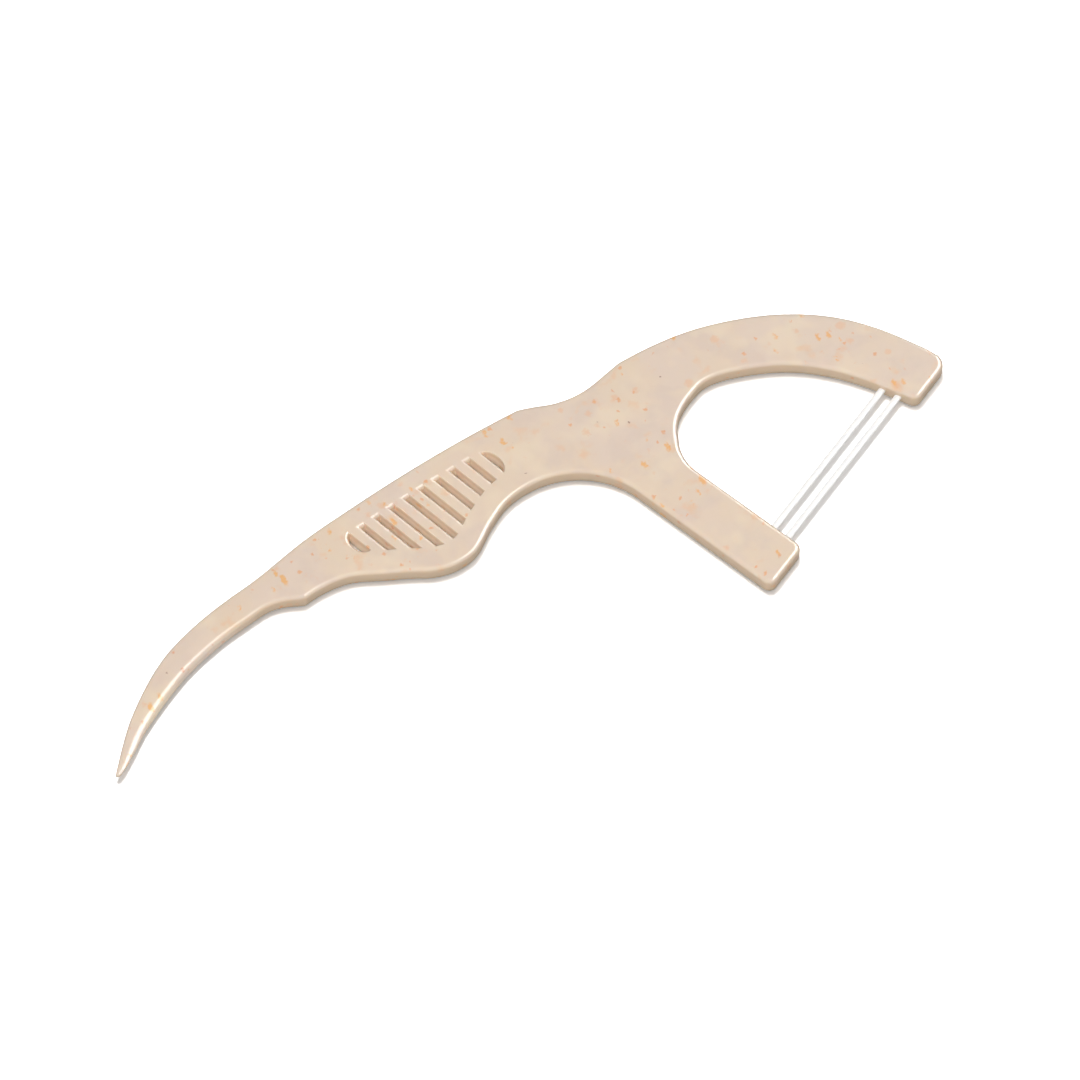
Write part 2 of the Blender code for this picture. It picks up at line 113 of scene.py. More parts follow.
def directions(path):
    """The direction of the path at each of its points, leaning to the nearer neighbour."""
    steps = [b - a for a, b in zip(path, path[1:])]
    found = []
    for before, after in zip(steps, steps[1:]):
        leaning = before.normalized() * after.length + after.normalized() * before.length
        found.append(leaning.normalized())
    if not found:
        return [steps[0].normalized()] * 2
    return [mirrored(found[0], steps[0])] + found + [mirrored(found[-1], steps[-1])]


def smooth_path(knots, start=None, end=None):
    """A curve through the knots, with a given direction at either end where one is named."""
    slopes = directions(knots)
    slopes[0] = start or slopes[0]
    slopes[-1] = end or slopes[-1]
    path = [knots[0]]
    for a, b, leaving, arriving in zip(knots, knots[1:], slopes, slopes[1:]):
        third = (b - a).length / 3
        path += interpolate_bezier(a, a + leaving * third, b - arriving * third, b,
                                   CURVE_STEPS + 1)[1:]
    return path


def evened(path):
    """The same path in points that lie about one facet apart."""
    reached = [0]
    for a, b in zip(path, path[1:]):
        reached.append(reached[-1] + (b - a).length)
    count = max(1, round(reached[-1] / FACET))
    points = [path[0]]
    i = 0
    for step in range(1, count):
        goal = reached[-1] * step / count
        while reached[i + 1] < goal:
            i += 1
        share = (goal - reached[i]) / (reached[i + 1] - reached[i])
        points.append(path[i].lerp(path[i + 1], share))
    return points + [path[-1]]


def rounded_join(paths, radii):
    """Paths that follow one another, with an arc in each corner between them."""
    joined = list(paths[0])
    for path, radius in zip(paths[1:], radii):
        corner = path[0]
        arriving = (corner - joined[-2]).normalized()
        leaving = (path[1] - corner).normalized()
        turn = arriving.angle(leaving)
        reach = radius * math.tan(turn / 2)
        pull = radius * math.tan(turn / 4) * 4 / 3
        clear = reach + SHORTEST
        while (joined[-1] - corner).length < clear:
            joined.pop()
        first = corner - arriving * reach
        last = corner + leaving * reach
        joined += interpolate_bezier(first, first + arriving * pull, last - leaving * pull, last,
                                     ARC_STEPS + 1)
        joined += [p for p in path if (p - corner).length > clear]
    return joined


def point_at(path, x):
    """The first point of the path that has this x."""
    for a, b in zip(path, path[1:]):
        if min(a.x, b.x) <= x <= max(a.x, b.x):
            return a.lerp(b, (x - a.x) / (b.x - a.x))
    return path[-1]


def meeting(place, direction, other_place, other_direction):
    """Where two lines cross, each given by a place and a direction."""
    gap = (other_place - place).cross(other_direction)
    return place + direction * (gap / direction.cross(other_direction))


def shared(start, shares, reach, drop):
    """Knots at shares of a reach and a drop from a start."""
    return [start + Vector((s * reach, t * drop)) for s, t in shares]


root = Vector((-HANDLE_LENGTH, -HANDLE_RISE))
handle_knots = shared(root, HANDLE_BACK_SHARES, HANDLE_LENGTH, HANDLE_RISE)
pick_knots = shared(root, PICK_BACK_SHARES, -PICK_LENGTH, -PICK_DROP)
back_curve = smooth_path(handle_knots + pick_knots)

# Toothpick edges: the back edge and, a tapering width away from it, the belly edge
pick_start = point_at(back_curve, root.x + ROOT_INSET)
back_knots = [pick_start, root] + pick_knots
belly_knots = [pick_start - Vector((0, ROOT_WIDTH))]
half_depths, bevels = [THICKNESS / 2], [EDGE_ROUND]
for place, slope, width_share, depth_share, bevel_share in zip(
        back_knots[1:], directions(back_knots)[1:], PICK_WIDTH_SHARES, PICK_THICKNESS_SHARES,
        PICK_BEVEL_SHARES):
    belly_knots.append(place + left_of(slope) * between(TIP_WIDTH, PICK_WIDTH, width_share))
    half_depths.append(between(TIP_THICKNESS, THICKNESS, depth_share) / 2)
    bevels.append(between(EDGE_ROUND, PICK_BEVEL, bevel_share))
pick_pairs = []
for i, (upper, lower) in enumerate(zip(smooth_path(back_knots), smooth_path(belly_knots))):
    span = min(i // CURVE_STEPS, len(half_depths) - 2)
    share = i / CURVE_STEPS - span
    depth = between(half_depths[span], half_depths[span + 1], share)
    bevel = between(bevels[span], bevels[span + 1], share)
    pick_pairs.append((upper, lower, depth, bevel))

# Bow: the outer edge, the inner edge of the upper arm and the throat, which end at the arms' cut
neck = smooth_path([Vector((0, 0))] + shared(Vector((0, 0)), NECK_SHARES, NECK_LENGTH, -NECK_SCOOP))
bow = smooth_path([neck[-1]] + shared(neck[-1], BOW_SHARES, BOW_LENGTH, -BOW_DROP))
arm_end, down_arm = heading(FLOSS_ANGLE), heading(-LOWER_ARM_ANGLE)
across_arm = left_of(down_arm)
upper_corner = bow[-1] - arm_end * UPPER_END_WIDTH
upper_inner = []
bow_slopes = directions(bow)
for i in range((len(UPPER_ARM_SHARES) - 1) * CURVE_STEPS + 1):
    knot = min(i // CURVE_STEPS, len(UPPER_ARM_SHARES) - 2)
    share = between(UPPER_ARM_SHARES[knot], UPPER_ARM_SHARES[knot + 1], i / CURVE_STEPS - knot)
    place = CROWN_KNOT * CURVE_STEPS + i
    width = between(CROWN_WIDTH, UPPER_ARM_WIDTH, share)
    upper_inner.append(bow[place] - left_of(bow_slopes[place]) * width)
crown = upper_inner[0]
upper_inner.append(upper_corner)
foot = crown - Vector((THROAT_REACH, THROAT_DROP))
# The throat takes over a little past the crown, in the upper arm's own direction there
crown_end = directions(upper_inner)[CROWN_BLEND]
upper_inner = upper_inner[CROWN_BLEND:]
throat_knots = shared(crown, THROAT_SHARES, -THROAT_REACH, -THROAT_DROP)
throat = smooth_path([foot] + throat_knots + [upper_inner[0]], start=-down_arm, end=crown_end)
lower_corner = meeting(foot, down_arm, upper_corner, arm_end)
outer_corner = meeting(foot - across_arm * LOWER_ARM_WIDTH, down_arm, upper_corner, arm_end)

# Belly of the handle: notch, grip and the round saddle that runs into the lower arm
saddle_y = -SADDLE_WIDTH - SADDLE_RADIUS
saddle_x = (outer_corner.dot(across_arm) - SADDLE_RADIUS - saddle_y * across_arm.y) / across_arm.x
saddle_centre = Vector((saddle_x, saddle_y))
saddle = []
for i in range(SADDLE_STEPS + 1):
    turn = math.radians(90) - LOWER_ARM_ANGLE * i / SADDLE_STEPS
    saddle.append(saddle_centre + heading(turn) * SADDLE_RADIUS)


def below_back(share, width):
    """A knot this far under the handle's back, at a share of the handle's length."""
    return point_at(back_curve, -HANDLE_LENGTH * (1 - share)) - Vector((0, width))


saddle_width = point_at(back_curve, saddle_x).y + SADDLE_WIDTH
notch = point_at(back_curve, root.x + NOTCH_INSET) - Vector((0, NOTCH_WIDTH))
grip_knots = [notch]
grip_knots += [below_back(s, between(NOTCH_WIDTH, GRIP_WIDTH, w)) for s, w in GRIP_SWELL_SHARES]
grip_knots.append(below_back(GRIP_SHARE, GRIP_WIDTH))
grip_knots += [below_back(s, between(GRIP_WIDTH, saddle_width, w)) for s, w in SADDLE_SWELL_SHARES]
grip = evened(smooth_path(grip_knots + [saddle[0]], end=heading(0)))
belly = rounded_join([[pick_pairs[0][1], notch], grip], [NOTCH_RADIUS])
back = [p for p in back_curve if p.x > pick_start.x + SHORTEST] + [pick_start]

plate = rounded_join(
    [
        belly + (evened(saddle) + evened([saddle[-1], outer_corner])[1:])[1:],
        evened([outer_corner, lower_corner]),
        evened([lower_corner, foot])[:-1] + evened(throat)[:-1] + evened(upper_inner),
        evened([upper_corner, bow[-1]]),
        evened(bow[::-1]),
        evened(neck[::-1]),
        evened(back),
    ],
    [ARM_CORNER_RADIUS] * 3 + [UPPER_CORNER_RADIUS] + [NECK_RADIUS] * 2,
)

# The body itself: one plastic moulding. Half of it is drawn up from the parting line as rings of
# edges that turn over the rounded edge, the flat face closes it, and a mirror makes the other
# half. Along the toothpick's belly the wall leans in towards a crease.
ROUND_STEPS = 7
QUARTER_TURN = math.radians(90)
WIDE_ROUND, WIDE_SIDE = 0.5, math.radians(-8)
BACK_ROUND, BACK_ROUND_SHARE = 0.3, 0.3
CREASE_ROUND, CREASE_RATE, CREASE_WIDTH_SHARE = 0.42, 4, 0.62
ROUND_DEPTH_SHARE = 0.9
FOOT_SHARE = 0.1
SEAM = 0.001
SHARP = math.radians(21)
MM = 0.001


def drawn_up(name, rings):
    """A closed loop of edges that is extruded from ring to ring and left in edit mode."""
    bpy.ops.mesh.primitive_circle_add(vertices=len(rings[0]))
    made = bpy.context.object
    made.name = made.data.name = name
    bpy.ops.object.mode_set(mode="EDIT")
    mesh = bmesh.from_edit_mesh(made.data)
    order = mesh.verts.layers.int.new("order")
    for i, vertex in enumerate(mesh.verts):
        vertex[order] = i
        vertex.co = rings[0][i]
    for ring in rings[1:]:
        bpy.ops.mesh.extrude_edges_move()
        mesh = bmesh.from_edit_mesh(made.data)
        order = mesh.verts.layers.int["order"]
        for vertex in mesh.verts:
            if vertex.select:
                vertex.co = ring[vertex[order]]
    bmesh.update_edit_mesh(made.data)
    return made


def closed(made):
    """Caps both ends of a drawn-up form and turns its faces outwards."""
    bpy.ops.mesh.select_all(action="DESELECT")
    bpy.ops.mesh.select_non_manifold()
    bpy.ops.mesh.edge_face_add()
    bpy.ops.mesh.select_all(action="SELECT")
    bpy.ops.mesh.normals_make_consistent(inside=False)
    bpy.ops.object.mode_set(mode="OBJECT")
    return made


# Each place on the outline with its half thickness, the round of its edge and its wall's lean
loop = [(p, THICKNESS / 2, EDGE_ROUND, 0) for p in plate]
for upper, lower, depth, _ in pick_pairs[1:]:
    loop.append((upper, depth, min(BACK_ROUND, (upper - lower).length * BACK_ROUND_SHARE), 0))
for upper, lower, depth, bevel in pick_pairs[:0:-1]:
    crease = min(bevel, (upper - lower).length * CREASE_WIDTH_SHARE)
    share = min(1, (bevel - EDGE_ROUND) * CREASE_RATE)
    turned = min(crease, between(EDGE_ROUND, CREASE_ROUND, share))
    loop.append((lower, depth, turned, crease - turned))
# The plate's rounds are widest on the edges that face right
rings, leans = [], []
for k in range(ROUND_STEPS + 2):
    ring = []
    for i, (place, depth, bevel, lean) in enumerate(loop):
        ahead = loop[(i + 1) % len(loop)][0] - place
        behind = place - loop[i - 1][0]
        outward = -left_of((ahead.normalized() + behind.normalized()).normalized())
        if i < len(plate):
            bevel = between(EDGE_ROUND, WIDE_ROUND, max(0, outward.dot(heading(WIDE_SIDE))))
        turn = QUARTER_TURN * max(0, k - 1) / ROUND_STEPS
        drop = min(bevel, depth * ROUND_DEPTH_SHARE) * (1 - math.sin(turn))
        spot = place - outward * bevel * (1 - math.cos(turn))
        ring.append(Vector((spot.x, spot.y, depth - drop if k else 0)))
        if not k:
            leans.append((outward.to_3d() * lean, depth))
    rings.append(ring)
body = drawn_up("pick_body_moulding", rings)
mesh = bmesh.from_edit_mesh(body.data)
order = mesh.verts.layers.int["order"]
top = sorted((v for v in mesh.verts if v.select), key=lambda v: v[order])
flat = len(plate)
last = len(pick_pairs) - 1
mesh.faces.new(top[:flat])
back_side = [top[flat - 1]] + top[flat:flat + last]
belly_side = [top[0]] + top[flat + last:][::-1]
for i in range(last):
    mesh.faces.new((back_side[i], back_side[i + 1], belly_side[i + 1], belly_side[i]))
bmesh.update_edit_mesh(body.data)
bpy.ops.object.mode_set(mode="OBJECT")
mirror = body.modifiers.new("lower half", "MIRROR")
mirror.use_axis = (False, False, True)
mirror.merge_threshold = SEAM
bpy.ops.object.modifier_apply(modifier=mirror.name)
bpy.ops.object.mode_set(mode="EDIT")
mesh = bmesh.from_edit_mesh(body.data)
order = mesh.verts.layers.int["order"]
for vertex in mesh.verts:
    lean, depth = leans[vertex[order]]
    vertex.co -= lean * between(FOOT_SHARE, 1, (vertex.co.z / depth + 1) / 2)
bmesh.update_edit_mesh(body.data)
bpy.ops.mesh.select_all(action="SELECT")
bpy.ops.mesh.normals_make_consistent(inside=False)
bpy.ops.object.mode_set(mode="OBJECT")

# The grip: eight slanting slots and a half moon at either end, pierced right through, so that
# thumb and finger hold on ribs. The mould's pins leave a broad round at the rims on the left and
# at the top of each, and almost none at the others.
SLOT_COUNT, SLOT_PITCH, SLOT_WIDTH = 8, 1.543, 0.46
SLOT_LEAN = math.radians(19)
SLOT_RIM, NEAR_RIM, FAR_RIM, NEAR_REACH = 0.17, 0.4, 0.06, 0.1
FIRST_SLOT_INSET, LAST_RIB_WIDTH = 10.0, 1.14
BACK_MARGIN, BELLY_MARGIN = 1.86, 2.28
LEFT_BULGE, RIGHT_BULGE, RIGHT_INSET = 1.06, 0.98, 0.15
MOON_RIM_SHARE = 0.8
MOON_TURNS = [math.radians(6 * k) for k in range(15)]
RIM_TURNS = [math.radians(15 * k) for k in range(7)]
PIN_FLARE, PIN_REACH = 1.3, 0.2
across = heading(SLOT_LEAN)
along = left_of(across)


def edge_levels(path, margin):
    """An edge of the body moved inwards, as steps across and along the slots."""
    moved = [p + left_of(d) * margin for p, d in zip(path, directions(path))]
    return [(p.dot(across), p.dot(along)) for p in moved]


def level_at(levels, u):
    """How far along the slots the edge lies at a step across them."""
    for (u0, v0), (u1, v1) in zip(levels, levels[1:]):
        if min(u0, u1) <= u <= max(u0, u1):
            return between(v0, v1, (u - u0) / (u1 - u0))
    return levels[-1][1]


upper_limit = edge_levels(back, BACK_MARGIN)
lower_limit = edge_levels(belly, BELLY_MARGIN)


def slot_ring(centre, near, far):
    """The outline of a slot whose near sides, left and top, and far sides have come in this far."""
    reach = SLOT_WIDTH / 2 + SLOT_RIM
    left, right = centre - reach - NEAR_REACH + near, centre + reach - far
    ring = [(u, level_at(lower_limit, u) - SLOT_RIM + far) for u in (left, right)]
    ring += [(u, level_at(upper_limit, u) + SLOT_RIM - near) for u in (right, left)]
    return ring


def half_moon_ring(side, edge, bulge, inset, near, far):
    """The outline of the opening at either end of the grip, with one straight side."""
    high = level_at(upper_limit, edge) + SLOT_RIM - inset
    low = level_at(lower_limit, edge) + inset - SLOT_RIM
    middle = (high + low) / 2
    straight, arc = (near, far) if side > 0 else (far, near)
    reach = SLOT_RIM + NEAR_REACH if side > 0 else SLOT_RIM
    base = edge - side * (reach - straight)
    half = (high - low) / 2 - (near + far) / 2
    middle -= (near - far) / 2
    width = side * (bulge - arc - straight)
    lower = [(base + width * math.sin(t), middle - half * math.cos(t)) for t in MOON_TURNS]
    ring = lower + [(u, 2 * middle - v) for u, v in lower[::-1]]
    return ring if side > 0 else ring[::-1]


def slot_cutter(name, near_rim, ring_of, *size):
    """A mould pin, from a ring outline for each level: wide past the faces, narrow between them."""
    flare = [(1 - math.sin(t), (1 - math.cos(t)) * NEAR_RIM) for t in RIM_TURNS]
    levels = [(PIN_FLARE, -PIN_REACH)] + flare
    rings = []
    for side in (-1, 1):
        for out, depth in levels[::-side]:
            outline = ring_of(*size, near_rim * (1 - out), FAR_RIM * (1 - out))
            spots = [across * u + along * v for u, v in outline]
            height = side * (THICKNESS / 2 - depth)
            rings.append([Vector((spot.x, spot.y, height)) for spot in spots])
    return closed(drawn_up(name, rings))


first = root.dot(across) + FIRST_SLOT_INSET
left_edge = first - SLOT_PITCH + SLOT_WIDTH / 2
right_edge = first + (SLOT_COUNT - 1) * SLOT_PITCH + SLOT_WIDTH / 2 + LAST_RIB_WIDTH
moon_rim = NEAR_RIM * MOON_RIM_SHARE
cutters = [slot_cutter(f"slot_pin_{i + 1}", NEAR_RIM, slot_ring, first + i * SLOT_PITCH)
           for i in range(SLOT_COUNT)]
cutters += [
    slot_cutter("slot_pin_left", moon_rim, half_moon_ring, -1, left_edge, LEFT_BULGE, 0),
    slot_cutter("slot_pin_right", moon_rim, half_moon_ring, 1, right_edge, RIGHT_BULGE,
                RIGHT_INSET),
]
bpy.ops.object.select_all(action="DESELECT")
for cutter in cutters:
    cutter.select_set(True)
bpy.context.view_layer.objects.active = cutters[0]
bpy.ops.object.join()
bpy.context.view_layer.objects.active = body
piercing = body.modifiers.new("grip slots", "BOOLEAN")
piercing.operation = "DIFFERENCE"
piercing.solver = "EXACT"
piercing.object = cutters[0]
bpy.ops.object.modifier_apply(modifier=piercing.name)
bpy.data.objects.remove(cutters[0], do_unlink=True)


def settled(made, sharp):
    """Brings a piece from millimetres to its place in the frame and shades it by its edges."""
    bpy.ops.object.select_all(action="DESELECT")
    made.select_set(True)
    bpy.context.view_layer.objects.active = made
    made.scale = (MM, MM, MM)
    made.location = shift
    bpy.ops.object.transform_apply(location=True, rotation=True, scale=True)
    bpy.ops.object.shade_smooth_by_angle(angle=sharp)
    weights = made.modifiers.new("even shading", "WEIGHTED_NORMAL")
    weights.keep_sharp = True
    bpy.ops.object.modifier_apply(modifier=weights.name)


low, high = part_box("pick_body")
xs = [v.co.x for v in body.data.vertices]
ys = [v.co.y for v in body.data.vertices]
shift = Vector(((low[0] + high[0]) / 2 - (min(xs) + max(xs)) / 2 * MM,
                (low[1] + high[1]) / 2 - (min(ys) + max(ys)) / 2 * MM,
                (low[2] + high[2]) / 2))
settled(body, SHARP)

# The plastic: cream, faintly clouded where straw flour and resin did not blend evenly, with rust
# and amber flecks of husk, a few dark ones, and a satin skin from the polished mould.
BASE_SCALE, CROWD_SCALE, FINE_SCALE = 0.14, 0.13, 9.0
FLECK_BEND_SCALE, FLECK_BEND = 3.6, 0.55
FLECK_LEAST, FLECK_SOFT_OUTSIDE, FLECK_SOFT_INSIDE = 0.4, 0.15, 0.4
WALL_STARTS, WALL_FULL, WALL_FADE = 0.95, 0.75, 6
GLOW_STARTS, GLOW_FULL, GLOW_RIM = 0.92, 0.5, 0.93
GLOW_MARGIN, GLOW_WIDTH, GLOW_HEIGHT, GLOW_DROP = 1.2, 4.0, 100, 0.9
ROUGHNESS, ROUGHNESS_SPREAD = 0.25, 0.08


class Wire:
    """An output socket. Sums and products of wires and numbers add Math nodes."""

    def __init__(self, tree, socket):
        self.tree, self.socket = tree, socket

    def node(self, kind, settings=None, inputs=None, out=0):
        made = self.tree.nodes.new(kind)
        for name, value in (settings or {}).items():
            setattr(made, name, value)
        for name, value in (inputs or {}).items():
            if isinstance(value, Wire):
                self.tree.links.new(value.socket, made.inputs[name])
            else:
                made.inputs[name].default_value = value
        return Wire(self.tree, made.outputs[out])

    def maths(self, operation, *values):
        return self.node("ShaderNodeMath", {"operation": operation}, dict(enumerate(values)))

    def __add__(self, other):
        return self.maths("ADD", self, other)

    def __sub__(self, other):
        return self.maths("SUBTRACT", self, other)

    def __mul__(self, other):
        return self.maths("MULTIPLY", self, other)

    __radd__, __rmul__ = __add__, __mul__

    def below(self, limit):
        return self.maths("LESS_THAN", self, limit)

    def ramp(self, low, high):
        """0 below low and 1 above high, with a smooth rise; falls instead where high is lower."""
        rising = high > low
        inputs = {"Value": self, "From Min": min(low, high), "From Max": max(low, high)}
        inputs |= {"To Min": 0.0 if rising else 1.0, "To Max": 1.0 if rising else 0.0}
        return self.node("ShaderNodeMapRange", {"interpolation_type": "SMOOTHSTEP"}, inputs)

    def mixed(self, low, high, factor):
        settings = {"data_type": "RGBA", "clamp_factor": True}
        return self.node("ShaderNodeMix", settings, {0: factor, 6: low, 7: high}, out=2)

    def noise(self, coords, scale, detail=2.0, roughness=0.5, out=0):
        inputs = {"Vector": coords, "Scale": scale, "Detail": detail, "Roughness": roughness}
        return self.node("ShaderNodeTexNoise", {}, inputs, out)

    def placed(self, offset=(0, 0, 0), turn=0.0, stretch=(1, 1, 1)):
        inputs = {"Vector": self, "Location": offset, "Rotation": (0, 0, turn), "Scale": stretch}
        return self.node("ShaderNodeMapping", {}, inputs)


def tone(red, green, blue):
    """A colour written as screen values from 0 to 255."""
    levels = [v / 255 for v in (red, green, blue)]
    light = [v / 12.92 if v <= 0.04045 else ((v + 0.055) / 1.055) ** 2.4 for v in levels]
    return (*light, 1.0)


def new_material(name, **constants):
    """A material and a wire that carries object coordinates in millimetres."""
    material = bpy.data.materials.new(name)
    material.use_nodes = True
    shader = material.node_tree.nodes["Principled BSDF"]
    for socket, value in constants.items():
        shader.inputs[socket.replace("_", " ")].default_value = value
    start = Wire(material.node_tree, None)
    coords = start.node("ShaderNodeTexCoord", out=3)
    return material, shader, coords.placed(stretch=(1 / MM, 1 / MM, 1 / MM))


def feed(shader, socket, wire):
    wire.tree.links.new(wire.socket, shader.inputs[socket])


def flecks(place, scale, reach, share, stretch, turn, seed):
    """Irregular grains: 1 inside a grain, 0 outside, and a random value for each grain."""
    bent = place.noise(place, FLECK_BEND_SCALE, 3.0, out=1)
    bent = place.node("ShaderNodeVectorMath", {"operation": "MULTIPLY_ADD"},
                      {0: bent, 1: (FLECK_BEND, FLECK_BEND, FLECK_BEND), 2: place})
    spread = bent.placed((seed, seed * 2, seed * 3), turn, stretch)
    inputs = {"Vector": spread, "Scale": scale, "Randomness": 1.0}
    distance = spread.node("ShaderNodeTexVoronoi", {}, inputs)
    cell = spread.node("ShaderNodeTexVoronoi", {}, inputs, out=1)
    parts = cell.node("ShaderNodeSeparateColor", {}, {0: cell})
    amount, chance, hue = (Wire(parts.tree, parts.socket.node.outputs[k]) for k in range(3))
    edge = distance - (amount * (1 - FLECK_LEAST) + FLECK_LEAST) * reach
    grains = edge.ramp(reach * FLECK_SOFT_OUTSIDE, -reach * FLECK_SOFT_INSIDE)
    return grains * chance.below(share), hue


plastic, shader, place = new_material("plant_fibre_plastic", Specular_IOR_Level=0.8, IOR=1.5,
                                      Subsurface_Weight=0.4, Subsurface_Scale=0.001,
                                      Subsurface_Radius=(1.0, 0.7, 0.45))
CREAM, WARM_CREAM = tone(228, 210, 194), tone(230, 211, 190)
# Painted light: a paler tone for the walls of the slots
# Painted shade: a darker, warmer tone for the upright walls
WALL_SHADE, SLOT_WALL_LIGHT = tone(222, 198, 170), tone(254, 233, 211)
colour = place.mixed(CREAM, WARM_CREAM, place.noise(place, BASE_SCALE).ramp(0.4, 0.6))
# Each cloud has an offset, a scale, a detail, the levels where it starts and is full, a colour and
# the share of it that covers what is below
CLOUDS = {
    "veil": ((31, 7, 3), 0.34, 3.0, 0.48, 0.68, tone(221, 203, 189), 0.65),
    "pale": ((8, 40, 2), 0.28, 2.0, 0.5, 0.7, tone(236, 219, 196), 0.7),
    "haze": ((3, 51, 9), 0.55, 3.0, 0.58, 0.76, tone(232, 194, 160), 0.7),
}
clouds = {}
for name, (offset, scale, detail, starts, full, shade, cover) in CLOUDS.items():
    clouds[name] = place.noise(place.placed(offset), scale, detail)
    colour = place.mixed(colour, shade, clouds[name].ramp(starts, full) * cover)
# Painted shade: the upright walls are painted darker and warmer than the faces, as the shade that
# falls on them, apart from the toothpick, which is thinner
parts = place.node("ShaderNodeSeparateXYZ", {}, {0: place})
height = Wire(parts.tree, parts.socket.node.outputs[2])
wall_shade = height.ramp(THICKNESS * WALL_STARTS, THICKNESS * WALL_FULL) * height.ramp(0.0, EDGE_ROUND)
handle_start = root.x + shift.x / MM
wall_shade *= parts.ramp(handle_start - WALL_FADE, handle_start)
colour = place.mixed(colour, WALL_SHADE, wall_shade)
# Painted light: the walls of the slots are painted paler, for the light that comes through the thin
# ribs
grip_ends = []
for u in (left_edge - LEFT_BULGE, right_edge + RIGHT_BULGE):
    middle = (level_at(upper_limit, u) + level_at(lower_limit, u)) / 2
    grip_ends.append(across * u + along * middle)
grip_axis = grip_ends[1] - grip_ends[0]
grip_centre = (grip_ends[0] + grip_ends[1]) / 2 - left_of(grip_axis.normalized()) * GLOW_DROP
glow_reach = (grip_axis.length / 2 + GLOW_MARGIN, GLOW_WIDTH, GLOW_HEIGHT)
inputs = {"Vector": place, "Location": grip_centre.to_3d() + shift / MM,
          "Rotation": (0, 0, math.atan2(grip_axis.y, grip_axis.x)), "Scale": glow_reach}
inside = place.node("ShaderNodeMapping", {"vector_type": "TEXTURE"}, inputs)
reach = inside.node("ShaderNodeVectorMath", {"operation": "LENGTH"}, {0: inside}, out=1)
glow = reach.ramp(1.0, GLOW_RIM) * height.ramp(THICKNESS * GLOW_STARTS, THICKNESS * GLOW_FULL)
glow *= height.ramp(0.0, SLOT_RIM)
colour = place.mixed(colour, SLOT_WALL_LIGHT, glow)

# Each kind of fleck has the scale of its cells, its reach in them, the share of cells it fills,
# more where it is crowded, its stretch, turn and seed, two colours and its cover
crowd = place.noise(place.placed((13, 2, 5)), CROWD_SCALE, 1.0).ramp(0.4, 0.6)
ROUND, LONG = (1, 1, 1), (1.0, 0.5, 1)
STAIN, AMBER, DARK = tone(232, 186, 146), tone(238, 178, 96), tone(156, 116, 96)
FLECKS = {
    "stain": (0.7, 0.36, crowd * 0.45 + 0.12, ROUND, 0.0, 31, STAIN, STAIN, 0.5),
    "grain": (1.1, 0.26, crowd * 0.45 + 0.08, ROUND, 0.0, 4, tone(238, 176, 112),
              tone(218, 154, 110), 0.72),
    "sliver": (1.0, 0.3, crowd * 0.6 + 0.08, LONG, 0.6, 11, AMBER, AMBER, 0.75),
    "dot": (0.7, 0.08, 0.25, ROUND, 0.0, 23, DARK, DARK, 0.75),
}
filled = {}
for name, (*cells, one_shade, other_shade, cover) in FLECKS.items():
    filled[name], hue = flecks(place, *cells)
    shade = place.mixed(one_shade, other_shade, hue)
    colour = place.mixed(colour, shade, filled[name] * cover)
feed(shader, "Base Color", colour)
fine = place.noise(place, FINE_SCALE, 3.0)
feed(shader, "Roughness", (fine + clouds["veil"]) * ROUGHNESS_SPREAD + ROUGHNESS)
grainy = fine * 0.5 + clouds["haze"] * 0.3 + filled["grain"] * 0.2
bump = place.node("ShaderNodeBump", {}, {"Strength": 0.1, "Distance": 0.00004, "Height": grainy})
feed(shader, "Normal", bump)
body.data.materials.append(plastic)
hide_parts("pick_body")
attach(body, "root")

# The floss: two taut strands of fine filaments that lie a little flat, moulded into both arms at
# half their thickness. The first is the one nearer the handle.
FLOSS_WIDTH, FLOSS_THICKNESS = 0.62, 0.42
FLOSS_SPACING, FLOSS_INSET, FLOSS_SEAT = 1.49, 1.77, 2.4
STRAND_SIDES, STRAND_RINGS = 96, 160
LOBES, LOBE_SHARE, LOBE_TURNS = 9, 0.045, 0.8
STRAND_SHARP = math.radians(60)
FILAMENT_STRETCH, STREAK_SCALE, SPARKLE_SCALE = (0.25, 9.0, 9.0), 1.6, 3.2
DULL_WHITE, BRIGHT_WHITE = tone(233, 234, 238), tone(250, 249, 246)


def crossing(path, place, forward):
    """Where the path crosses the line through a place in a direction."""
    side = left_of(forward)
    for a, b in zip(path, path[1:]):
        before, after = (a - place).dot(side), (b - place).dot(side)
        if before * after <= 0 and before != after:
            return a.lerp(b, before / (before - after))
    return path[-1]


def strand(name, start, end):
    """A flattened rod with the twisted grooves between its bundles of filaments."""
    forward = (end - start).normalized()
    side = left_of(forward)
    rings = []
    for step in range(STRAND_RINGS + 1):
        share = step / STRAND_RINGS
        centre = start.lerp(end, share)
        ring = []
        for k in range(STRAND_SIDES):
            turn = 2 * math.pi * k / STRAND_SIDES
            lay = LOBES * (turn + 2 * math.pi * LOBE_TURNS * share)
            swell = 1 - LOBE_SHARE * (1 - abs(math.cos(lay / 2)))
            spot = centre + side * (math.cos(turn) * FLOSS_WIDTH / 2 * swell)
            ring.append(Vector((spot.x, spot.y, math.sin(turn) * FLOSS_THICKNESS / 2 * swell)))
        rings.append(ring)
    return closed(drawn_up(name, rings))


